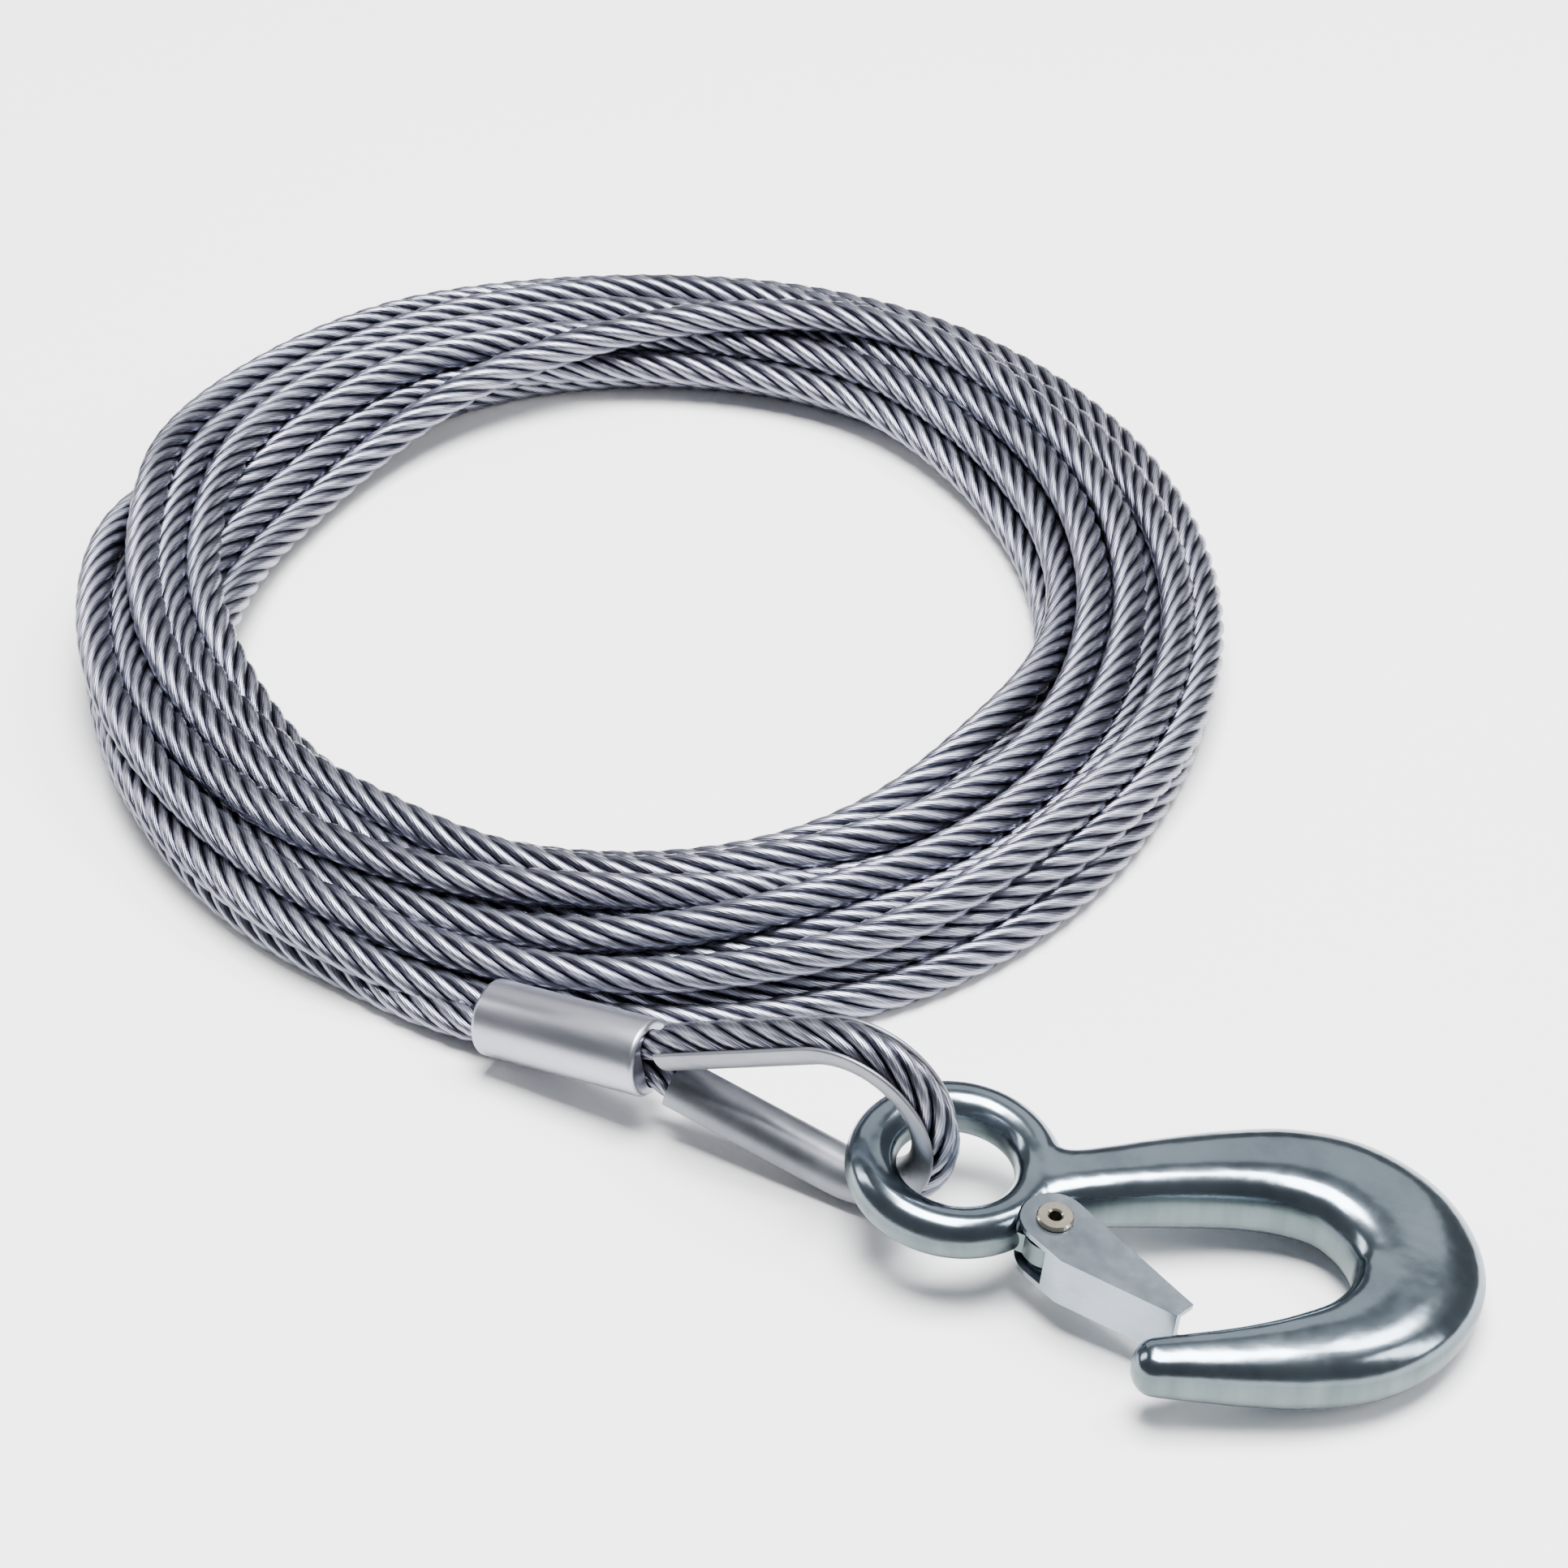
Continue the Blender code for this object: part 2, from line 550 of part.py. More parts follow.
def latch_spring(finish):
    """One wire: a leg on the shank, a turn over the ear, across inside the web, a turn under it, and a leg."""
    turn_radius = RIVET_RADIUS + TOUCH_GAP + SPRING_WIRE / 2
    level = (EAR_THICKNESS / 2 + LATCH_INSIDE / 2) / 2
    bridge = WEB_SET_OFF - LATCH_SHEET - TOUCH_GAP - SPRING_WIRE / 2
    web_out = WEB_ANGLE - pi / 2
    bridge_at = Vector((cos(web_out), sin(web_out), 0)) * bridge
    along = Vector((cos(WEB_ANGLE), sin(WEB_ANGLE), 0))
    coil = [Vector((x, y, 0)) for x, y in arc((0, 0), turn_radius, WEB_ANGLE, WEB_ANGLE + 2 * pi, 16)]
    leg_way = Vector((-sin(WEB_ANGLE), cos(WEB_ANGLE), 0))
    leg = [coil[-1] + leg_way * SPRING_LEG * share for share in (1, 2 / 3, 1 / 3)]
    bend = [bridge_at * 0.62 + along * SPRING_BRIDGE * 0.8, bridge_at + along * SPRING_BRIDGE]
    half = leg + list(reversed(coil)) + bend
    upper = [p + Vector((0, 0, level)) for p in half]
    lower = [p - Vector((0, 0, level)) for p in reversed(half)]
    add("latch_spring", tube("latch_spring", upper + lower, SPRING_WIRE / 2), latch_frame, finish)


def stand_on_origin():
    """Moves the whole assembly so that its box stands centred on the origin."""
    bpy.context.view_layer.update()
    graph = bpy.context.evaluated_depsgraph_get()
    corners = []
    for obj in parts.objects:
        if obj.type != "EMPTY":
            evaluated = obj.evaluated_get(graph)
            mesh = evaluated.to_mesh()
            corners += [evaluated.matrix_world @ v.co for v in mesh.vertices]
            evaluated.to_mesh_clear()
    low = [min(c[i] for c in corners) for i in range(3)]
    high = [max(c[i] for c in corners) for i in range(3)]
    assembly.location = (-(low[0] + high[0]) / 2, -(low[1] + high[1]) / 2, -low[2])
    bpy.context.view_layer.update()


clear_scene()
parts = new_collection(COLLECTION)
cutters = new_collection("cutters")

rope_steel = material("galvanised_rope", (0.55, 0.56, 0.60), 0.35)
aluminium = material("ferrule_aluminium", (0.72, 0.72, 0.73), 0.32)
thimble_zinc = material("thimble_zinc", (0.62, 0.63, 0.66), 0.36)
hook_zinc = material("hook_zinc", (0.60, 0.64, 0.66), 0.25)
latch_zinc = material("latch_zinc", (0.74, 0.77, 0.79), 0.35)
rivet_steel = material("rivet_steel", (0.70, 0.66, 0.56), 0.3)
spring_steel = material("spring_steel", (0.58, 0.63, 0.75), 0.25)

assembly = empty("cable_assembly", (0, 0, 0))
line = empty("pull_line", (0, 0, LINE_START_Z), (0, -LINE_PITCH, 0), assembly)
swing = empty("hook_swing", (SWING_X, 0, EYE_HEIGHT), (0, 0, HOOK_YAW), assembly)
hook_frame = empty("hook_frame", (EYE_SET_OFF, 0, 0), (0, HOOK_PITCH, 0), swing)
latch_frame = empty("latch_pivot", (PIVOT_X, PIVOT_Y, 0), (0, 0, 0), hook_frame)

rope_coil(rope_steel)
rope_eye(rope_steel)
ferrule(aluminium)
thimble(thimble_zinc)
snap_hook(hook_zinc)
latch(latch_zinc)
rivet(rivet_steel)
latch_spring(spring_steel)
stand_on_origin()
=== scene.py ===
"""Looks of the winch cable: the stranded rope, the forged hook and every finish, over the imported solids."""

import json
from math import copysign, cos, pi, radians, sin, sqrt, tan

import bmesh
import bpy
import numpy as np
from mathutils import Matrix, Vector


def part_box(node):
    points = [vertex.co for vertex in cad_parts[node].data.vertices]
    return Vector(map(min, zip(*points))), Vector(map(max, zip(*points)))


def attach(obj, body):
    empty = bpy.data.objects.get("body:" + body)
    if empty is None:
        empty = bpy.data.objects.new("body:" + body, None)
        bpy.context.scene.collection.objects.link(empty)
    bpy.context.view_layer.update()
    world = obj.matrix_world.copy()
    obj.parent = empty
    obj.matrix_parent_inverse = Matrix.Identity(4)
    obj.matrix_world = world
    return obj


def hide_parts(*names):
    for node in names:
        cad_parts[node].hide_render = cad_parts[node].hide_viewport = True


MM = 0.001

# Where the camera stands and looks, from where the pull line enters the ferrule
CAMERA_LENS = 89.19
CAMERA_PLACE = (0.20219, -0.29443, 0.34971)
CAMERA_TARGET = (0.00759, 0.06398, 0.0)
FLOOR_HALF_SIDE = 3.0

# Rope, ferrule and thimble, as in the solids
ROPE_RADIUS = 2.5 * MM
STRANDS = 6
STRAND_RADIUS = ROPE_RADIUS / 3
LAY = 24.5 * MM  # one turn of a strand
WIRES = 12  # outer wires of a strand
WIRE_LAY = 60.0 * MM
RING_STEP = 1.35 * MM
STRAND_SIDES = 10
STRAND_FILL = 1.03  # neighbouring strands press into each other a little
CORE_SIDES = 6
CORE_SHARE = 1.15  # of a strand's radius
UV_PER_METRE = 10
PRESSED_SHARE = 0.74
FERRULE_LENGTH = 24.0 * MM
PRESS_TAPER = 2.6 * MM
DEAD_END = 0.5 * MM
PRESSED_OFFSET = 2.0 * MM
LINE_PITCH = radians(8.715)
LINE_START_Z = 6.28 * MM
THIMBLE_REACH = 52.6 * MM
THIMBLE_LEG_ANGLE = radians(19.0)
EYE_ROPE_RADIUS = 11.65 * MM
TOUCH_GAP = 0.3 * MM
GROOVE_RADIUS = 2.8 * MM
GROOVE_OUTER = 3.5 * MM
THIMBLE_FLANGE = 0.6 * MM
FERRULE_RADIUS = 5.0 * MM
FERRULE_EDGE = 0.7 * MM
COIL_CENTRE = (-24.5 * MM, 83.4 * MM)  # from where the pull line enters the ferrule

# The hook, as in the solids
HOOK_YAW = radians(16.5)
HOOK_PITCH = radians(5.0564)
EYE_SET_OFF = 3.2 * MM
EYE_MEAN_RADIUS = 10.3 * MM
EYE_TUBE_RADIUS = 3.15 * MM
PIVOT = (13.0 * MM, -7.9 * MM)
PIVOT_HOLE_RADIUS = 1.6 * MM
EAR_RADIUS = 3.5 * MM
EAR_THICKNESS = 3.1 * MM
EAR_ROOT = [(14.0 * MM, 1.0 * MM), (9.3 * MM, 0.5 * MM), (6.35 * MM, -8.92 * MM)]
CHEEK_ROOM_RADIUS = 4.4 * MM
CHEEK_ROOM_FROM = 1.67 * MM
CHEEK_ROOM_TO = 7.7 * MM

# Each turn of the coil from its free end on: (radius, height) in mm every 30 degrees from the front,
# anticlockwise, before the turns settle on each other
TURNS = [
    [(60, 2.5), (60.5, 2.5), (61, 2.5), (61, 2.5), (61.5, 2.5), (62, 2.5),
     (63, 2.5), (63.5, 2.5), (63.5, 2.5), (62, 2.5), (63, 2.5), (64.5, 2.5)],
    [(70.2, 2.5), (70.4, 2.5), (69.7, 2.5), (68.5, 2.5), (67.5, 2.5), (67.5, 2.5),
     (69.6, 2.5), (70, 2.5), (70, 2.5), (70, 2.5), (71, 2.5), (73.5, 2.5)],
    [(75.9, 2.8), (79, 5), (80.4, 6.5), (79, 6.8), (78, 7.2), (78.1, 8.7),
     (78.8, 9.4), (78.6, 9.6), (79.4, 10.6), (77.4, 10.5), (72.6, 12), (66.7, 10.6)],
    [(65.3, 8.3), (63.5, 7.2), (60.5, 6.6), (59.8, 6.6), (58.2, 6.8), (58.6, 6.8),
     (61.2, 6.7), (61.8, 6.9), (64.5, 6.8), (62.8, 8), (64.6, 6.9), (71.2, 6.9)],
    [(72.6, 7.2), (73.2, 7.2), (73.8, 7.8), (71.6, 8.2), (72.5, 6.8), (70.3, 6.9),
     (71, 6.9), (72, 6.9), (74.2, 6.8), (73.2, 6.8), (77.6, 10.2), (77.4, 11.2)],
    [(78.7, 10), (79.4, 9.8), (78.6, 9.6), (76.3, 9.6), (74.8, 10.3), (74.3, 8),
     (74.8, 9.8), (74.3, 10.8), (75.6, 11.2), (74.6, 11.2), (68.8, 12.2), (63.6, 11.4)],
    [(62.2, 11.2), (62.3, 11.3), (65.2, 11.4), (62.7, 11), (64.3, 10.8), (64.9, 11),
     (67.2, 10.4), (70, 10.4), (70.1, 11.2), (70, 11.3), (65.1, 11.6), (60.6, 11.2)],
    [(58.3, 10.8), (58.2, 9.4), (57.8, 9.2), (58, 9.2), (60.6, 10.4), (60.2, 11),
     (62.2, 11), (65.3, 10.4), (64.6, 11), (65, 11), (69.5, 7), (74.6, 7.8)],
    [(75.2, 11), (74.8, 11), (72, 11), (68.9, 11), (69.9, 11), (70.7, 11),
     (69, 12.6), (62.4, 12.8), (60.2, 9), (59.2, 7), (60.7, 7.2), (67.4, 6.9)],
    [(68, 6.9), (68.2, 6.9), (75.2, 2.8), (73.8, 2.8), (72.8, 2.5), (72.4, 2.5),
     (75.8, 6.6), (76.5, 6.6), (78.2, 6.6), (77.8, 6.6), (75, 9.2), (72.3, 11.6)],
    [(69.5, 11.2), (68.3, 11), (66.4, 7.8), (65.4, 7.4), (67, 6.9), (65.6, 6.9),
     (66, 6.9), (67, 6.9), (69.5, 6.8), (68, 6.8), (77.6, 6.9), (78.8, 6.9)],
    [(81.4, 6.9), (83, 3), (81.4, 2.5), (78.2, 2.5), (77.3, 2.5), (77.6, 2.5),
     (78.6, 2.5), (79, 2.5), (79, 2.5), (78.4, 2.5), (77.5, 2.5), (77.6, 2.5)],
]
LEAD_JOINS = (81.5, 2.5)
# The lead, from the pull line's start: x, y and height in mm
LEAD = [(-19.0, 0.9, 2.6), (-13.5, 0.25, 2.86), (-8.0, 0.0, 3.3)]
STEPS_PER_STATION = 8
SETTLE_ROUNDS = 500
ROPE_SPACING = 4.75  # between centres, in mm
PLAY = 1.5  # how far a turn may be pushed inward, and nearly as far outward, in mm
FLOOR_HEIGHT = 2.5  # the centre of a rope that lies on the floor, in mm

# Each station of the forging in mm: x, y, width in the plane, thickness
HOOK_STATIONS = [
    (9.6, 0.6, 13.6, 5.6), (11.9, 0.8, 10.6, 6.6), (14.6, 1.3, 9.2, 7.5), (19.0, 2.8, 9.6, 8.5),
    (25.5, 5.4, 10.8, 9.2), (33.0, 8.1, 12.3, 9.6), (40.0, 9.6, 14.0, 9.8), (46.8, 9.0, 15.4, 9.8),
    (53.0, 5.0, 16.4, 9.8), (56.4, -1.6, 16.0, 9.8), (55.2, -8.8, 14.4, 9.8), (50.9, -14.6, 12.6, 9.7),
    (44.8, -18.4, 10.6, 9.5), (38.4, -21.0, 8.6, 8.7), (32.2, -22.9, 7.0, 7.7), (27.6, -24.2, 6.0, 6.8),
]
HOOK_TIP_LENGTH = 2.7
SECTION_SQUARENESS = 2.7
SECTION_SIDES = 48
INNER_SWELL = 0.10
FORGING_VOXEL = 0.34 * MM


def through(points, per_span):
    """Points on a Catmull-Rom curve through the given rows."""
    given = np.asarray(points, float)
    padded = np.vstack([2 * given[0] - given[1], given, 2 * given[-1] - given[-2]])
    a, b, c, d = padded[:-3, None], padded[1:-2, None], padded[2:-1, None], padded[3:, None]
    t = np.linspace(0, 1, per_span, endpoint=False)[None, :, None]
    curve = 0.5 * (2 * b + (c - a) * t + (2 * a - 5 * b + 4 * c - d) * t**2 + (3 * b - a - 3 * c + d) * t**3)
    return np.vstack([curve.reshape(-1, given.shape[1]), given[-1]])


# The rope's centre line


def settled(path):
    """The coil's turns in (radius, height), pushed apart where they overlap and let down until they rest."""
    per_turn = len(TURNS[0]) * STEPS_PER_STATION
    rows = -(-len(path) // per_turn)
    target = path.copy()
    for k in range(SETTLE_ROUNDS):
        late = k / SETTLE_ROUNDS
        grid = np.full((rows * per_turn, 2), np.nan)
        grid[: len(path)] = path
        grid = grid.reshape(rows, per_turn, 2)
        apart = grid[:, None] - grid[None]
        gap = np.sqrt((apart**2).sum(-1))
        push = np.where(gap > 0, np.clip(ROPE_SPACING - gap, 0, None) / np.maximum(gap, 1e-6), 0)
        move = (np.nan_to_num(apart) * np.nan_to_num(push)[..., None]).sum(1)
        path = path + 0.42 * move.reshape(-1, 2)[: len(path)]
        path[:, 1] -= 0.03 * (1.1 - late)
        path[:, 1] += 0.02 * max(0.0, 0.6 - late) * (target[:, 1] - path[:, 1])
        middle = 0.5 * (path[:-2] + path[2:]) - path[1:-1]
        path[1:-1] += (0.4 if late < 0.8 else 0.2) * middle
        path[:, 0] = np.clip(path[:, 0], target[:, 0] - PLAY, target[:, 0] + 0.8 * PLAY)
        path[:, 1] = np.maximum(path[:, 1], FLOOR_HEIGHT)
    return path


def rope_line():
    """The rope's centre line from its free end inside the coil to its dead end, and its pressed share."""
    stations = [station for turn in TURNS for station in turn] + [LEAD_JOINS]
    lanes = settled(through(stations, STEPS_PER_STATION))
    angle = radians(-90) + np.arange(len(lanes)) * radians(30) / STEPS_PER_STATION
    coil = np.stack(
        [
            COIL_CENTRE[0] + lanes[:, 0] * MM * np.cos(angle),
            COIL_CENTRE[1] + lanes[:, 0] * MM * np.sin(angle),
            lanes[:, 1] * MM,
        ],
        1,
    )
    lead = np.array(LEAD) * MM
    upper = eye_half(FERRULE_LENGTH + PRESS_TAPER, 6, 12)
    rows = [(-PRESS_TAPER, -PRESSED_OFFSET), (FERRULE_LENGTH * 0.03, -PRESSED_OFFSET)]
    rows += [(FERRULE_LENGTH * share, -PRESSED_OFFSET) for share in (0.3, 0.6, 1.025)]
    rows += [(x, -z) for x, z in upper]
    rows += [(x, z) for x, z in upper[-2::-1]]
    rows += [(FERRULE_LENGTH * share, PRESSED_OFFSET) for share in (1.025, 0.6, 0.3, 0.03)]
    rows += [(-DEAD_END, PRESSED_OFFSET)]
    eye = on_line([(x, 0, z) for x, z in rows])
    rough = np.vstack([coil, lead, eye])
    fine = through(rough, 6)
    run = np.concatenate([[0], np.cumsum(np.linalg.norm(np.diff(fine, axis=0), axis=1))])
    count = int(run[-1] / RING_STEP)
    even = np.linspace(0, run[-1], count)
    line = np.stack([np.interp(even, run, fine[:, i]) for i in range(3)], 1)
    for _ in range(4):
        line[1:-1] += 0.25 * (line[:-2] + line[2:] - 2 * line[1:-1])
    along = line[:, 0] * cos(LINE_PITCH) + (line[:, 2] - LINE_START_Z) * sin(LINE_PITCH)
    inside = (np.abs(line[:, 1]) < 1.5 * MM) & (even > even[-1] - 0.2)
    outside = np.maximum(-along - 0.4 * MM, along - FERRULE_LENGTH - 0.4 * MM)
    share = PRESSED_SHARE + (1 - PRESSED_SHARE) * np.clip(outside / PRESS_TAPER, 0, 1)
    share = np.where(inside, share, 1.0)
    return line, share, run[-1]


def moving_frames(line):
    """A frame carried along the line without twisting: tangents, normals and binormals."""
    tangent = np.gradient(line, axis=0)
    tangent /= np.linalg.norm(tangent, axis=1)[:, None]
    normal = np.zeros_like(line)
    normal[0] = np.cross(tangent[0], (0, 0, 1))
    normal[0] /= np.linalg.norm(normal[0])
    for i in range(1, len(line)):
        carried = normal[i - 1] - tangent[i] * (normal[i - 1] @ tangent[i])
        normal[i] = carried / np.linalg.norm(carried)
    return tangent, normal, np.cross(tangent, normal)


def tube_faces(rings, sides, first):
    """Quads of an open tube whose rings of points start at the given index."""
    i, j = np.meshgrid(np.arange(rings - 1), np.arange(sides), indexing="ij")
    k = (j + 1) % sides
    quads = np.stack([i * sides + j, i * sides + k, (i + 1) * sides + k, (i + 1) * sides + j], -1)
    return quads.reshape(-1, 4) + first


def stranded_rope(name, line, share):
    """Strands laid round a core along the line; UV is the run and the turn, and each point gets a value for
    painted shade: 1 on a strand's outward side, 0 where strands meet and on the core.
    """
    tangent, normal, binormal = moving_frames(line)
    run = np.concatenate([[0], np.cumsum(np.linalg.norm(np.diff(line, axis=0), axis=1))])
    around = np.arange(STRAND_SIDES) / STRAND_SIDES
    strand_radius = (STRAND_RADIUS * STRAND_FILL * share)[:, None, None]
    core_radius = (STRAND_RADIUS * CORE_SHARE * share)[:, None, None]
    points, faces, uv_points, painted_shade_by_crest = [], [], [], []
    total = 0
    for strand in range(STRANDS):
        phase = 2 * pi * (run / LAY + strand / STRANDS)
        out = np.cos(phase)[:, None] * normal + np.sin(phase)[:, None] * binormal
        centre = line + out * (ROPE_RADIUS - STRAND_RADIUS) * share[:, None]
        way = np.gradient(centre, axis=0)
        way /= np.linalg.norm(way, axis=1)[:, None]
        side = np.cross(way, out)
        turn = 2 * pi * around
        ring = np.cos(turn)[None, :, None] * out[:, None] + np.sin(turn)[None, :, None] * side[:, None]
        points.append((centre[:, None] + ring * strand_radius).reshape(-1, 3))
        faces.append(tube_faces(len(line), STRAND_SIDES, total))
        laid = np.stack([np.repeat(run, STRAND_SIDES), np.tile(around, len(line))], 1)
        uv_points.append(laid + (0, strand))
        # Painted shade: 1 on the strand's outward side, falling to 0 where it presses on its neighbours
        painted_shade_by_crest.append(np.tile(0.5 + 0.5 * np.cos(turn), len(line)))
        total += len(line) * STRAND_SIDES
    core_around = np.arange(CORE_SIDES) / CORE_SIDES
    core_turn = 2 * pi * core_around
    core = np.cos(core_turn)[None, :, None] * normal[:, None]
    core = core + np.sin(core_turn)[None, :, None] * binormal[:, None]
    points.append((line[:, None] + core * core_radius).reshape(-1, 3))
    faces.append(tube_faces(len(line), CORE_SIDES, total))
    uv_points.append(np.stack([np.repeat(run, CORE_SIDES), np.tile(core_around, len(line))], 1))
    # The core gets 0, the darkest painted shade
    painted_shade_by_crest.append(np.zeros(len(line) * CORE_SIDES))
    quads = np.vstack(faces)
    points, uv_points, painted_shade_by_crest = np.vstack(points), np.vstack(uv_points), np.concatenate(painted_shade_by_crest)
    caps = []
    first = 0
    for sides in [STRAND_SIDES] * STRANDS + [CORE_SIDES]:
        last = first + (len(line) - 1) * sides
        caps += [list(range(first, first + sides))[::-1], list(range(last, last + sides))]
        first = last + sides
    mesh = bpy.data.meshes.new(name)
    mesh.vertices.add(len(points))
    mesh.vertices.foreach_set("co", points.astype(np.float32).reshape(-1))
    corners = np.concatenate([quads.reshape(-1), np.array([v for cap in caps for v in cap])])
    sizes = np.concatenate([np.full(len(quads), 4), [len(cap) for cap in caps]])
    mesh.loops.add(len(corners))
    mesh.loops.foreach_set("vertex_index", corners.astype(np.int32))
    mesh.polygons.add(len(sizes))
    starts = np.concatenate([[0], np.cumsum(sizes)[:-1]])
    mesh.polygons.foreach_set("loop_start", starts.astype(np.int32))
    mesh.update(calc_edges=True)
    layer = mesh.uv_layers.new(name="UVMap")
    uv = uv_points[corners].copy()
    by_face = uv[: len(quads) * 4].reshape(-1, 4, 2)
    wraps = (by_face[:, :, 1].max(1) - by_face[:, :, 1].min(1)) > 0.5
    low = by_face[:, :, 1] - np.floor(by_face[:, :, 1].min(1))[:, None] < 0.25
    by_face[:, :, 1] += (wraps[:, None] & low) * 1.0
    uv[: len(quads) * 4] = by_face.reshape(-1, 2)
    layer.data.foreach_set("uv", (uv * (UV_PER_METRE, 1)).astype(np.float32).reshape(-1))
    attribute = mesh.attributes.new("painted_shade_by_crest", "FLOAT", "POINT")
    attribute.data.foreach_set("value", painted_shade_by_crest.astype(np.float32))
    mesh.validate()
    mesh.shade_smooth()
    made = bpy.data.objects.new(name, mesh)
    bpy.context.scene.collection.objects.link(made)
    return made


# Materials


class Nodes:
    """Short calls for building one material's node tree."""

    def __init__(self, name):
        self.material = bpy.data.materials.new(name)
        self.material.use_nodes = True
        self.tree = self.material.node_tree
        self.shader = self.tree.nodes["Principled BSDF"]
        self.where = self.add("ShaderNodeTexCoord").outputs["Object"]

    def add(self, kind, **settings):
        node = self.tree.nodes.new(kind)
        for key, value in settings.items():
            setattr(node, key, value)
        return node

    def link(self, output, socket):
        self.tree.links.new(output, socket)

    def math(self, operation, first, second=0.0, third=0.0, clamp=False):
        node = self.add("ShaderNodeMath", operation=operation, use_clamp=clamp)
        for socket, value in zip(node.inputs, (first, second, third)):
            if isinstance(value, (int, float)):
                socket.default_value = value
            else:
                self.link(value, socket)
        return node.outputs[0]

    def noise(self, scale, detail=3.0, stretch=(1, 1, 1), roughness=0.55):
        mapping = self.add("ShaderNodeMapping")
        mapping.inputs["Scale"].default_value = stretch
        self.link(self.where, mapping.inputs["Vector"])
        node = self.add("ShaderNodeTexNoise")
        node.inputs["Scale"].default_value = scale
        node.inputs["Detail"].default_value = detail
        node.inputs["Roughness"].default_value = roughness
        self.link(mapping.outputs[0], node.inputs["Vector"])
        return node.outputs["Fac"]

    def ramp(self, value, stops):
        node = self.add("ShaderNodeValToRGB")
        ramp = node.color_ramp
        while len(ramp.elements) < len(stops):
            ramp.elements.new(0.5)
        for element, (position, colour) in zip(ramp.elements, stops):
            element.position = position
            element.color = (*colour, 1.0)
        self.link(value, node.inputs["Fac"])
        return node.outputs["Color"]

    def mix(self, factor, first, second, blend="MIX"):
        node = self.add("ShaderNodeMix", data_type="RGBA", blend_type=blend)
        for socket, value in ((node.inputs[0], factor), (node.inputs[6], first), (node.inputs[7], second)):
            if isinstance(value, (int, float)):
                socket.default_value = value
            elif isinstance(value, tuple):
                socket.default_value = (*value, 1.0)
            else:
                self.link(value, socket)
        return node.outputs[2]

    def bump(self, height, distance, strength=1.0, normal=None):
        node = self.add("ShaderNodeBump")
        node.inputs["Distance"].default_value = distance
        node.inputs["Strength"].default_value = strength
        self.link(height, node.inputs["Height"])
        if normal:
            self.link(normal, node.inputs["Normal"])
        return node.outputs["Normal"]

    def finish(self, colour, roughness, metallic=1.0, normal=None):
        for name, value in (("Base Color", colour), ("Roughness", roughness), ("Metallic", metallic)):
            if isinstance(value, (int, float)):
                self.shader.inputs[name].default_value = value
            elif isinstance(value, tuple):
                self.shader.inputs[name].default_value = (*value, 1.0)
            else:
                self.link(value, self.shader.inputs[name])
        if normal:
            self.link(normal, self.shader.inputs["Normal"])
        return self.material


def rope_material():
    """Drawn, galvanised wires laid into strands: fine lines along each strand, with painted shade: near black
    in the grooves between strands and between wires, light grey on each strand's outward side.
    """
    n = Nodes("rope_wires")
    uv = n.add("ShaderNodeUVMap", uv_map="UVMap")
    split = n.add("ShaderNodeSeparateXYZ")
    n.link(uv.outputs[0], split.inputs[0])
    along = n.math("MULTIPLY", split.outputs[0], 1 / (UV_PER_METRE * WIRE_LAY))
    wire = n.math("MULTIPLY", n.math("SUBTRACT", split.outputs[1], along), WIRES)
    lobe = n.math("POWER", n.math("ABSOLUTE", n.math("SINE", n.math("MULTIPLY", wire, pi))), 0.5)
    painted_shade_by_crest = n.add("ShaderNodeAttribute", attribute_name="painted_shade_by_crest").outputs["Fac"]
    patch = n.noise(45, 3)
    fine = n.noise(700, 2)
    # Painted shade: this drives the colour ramp from near black in the grooves to light grey on each strand's
    # outward side, a little darker between wires
    depth = n.math("ADD", n.math("MULTIPLY", painted_shade_by_crest, 0.82), n.math("MULTIPLY", lobe, 0.18), clamp=True)
    tone = n.ramp(
        depth,
        [
            (0.0, (0.012, 0.012, 0.019)),
            (0.52, (0.044, 0.045, 0.064)),
            (0.80, (0.148, 0.153, 0.197)),
            (1.0, (0.395, 0.405, 0.475)),
        ],
    )
    dull = n.ramp(patch, [(0.35, (0.72, 0.72, 0.73)), (0.65, (1.0, 1.0, 1.0))])
    colour = n.mix(1.0, tone, dull, "MULTIPLY")
    roughness = n.math("ADD", n.math("MULTIPLY", fine, 0.12), n.math("MULTIPLY", patch, 0.12))
    roughness = n.math("ADD", roughness, 0.19)
    normal = n.bump(lobe, 0.08 * MM, 0.5)
    return n.finish(colour, roughness, 1.0, normal)


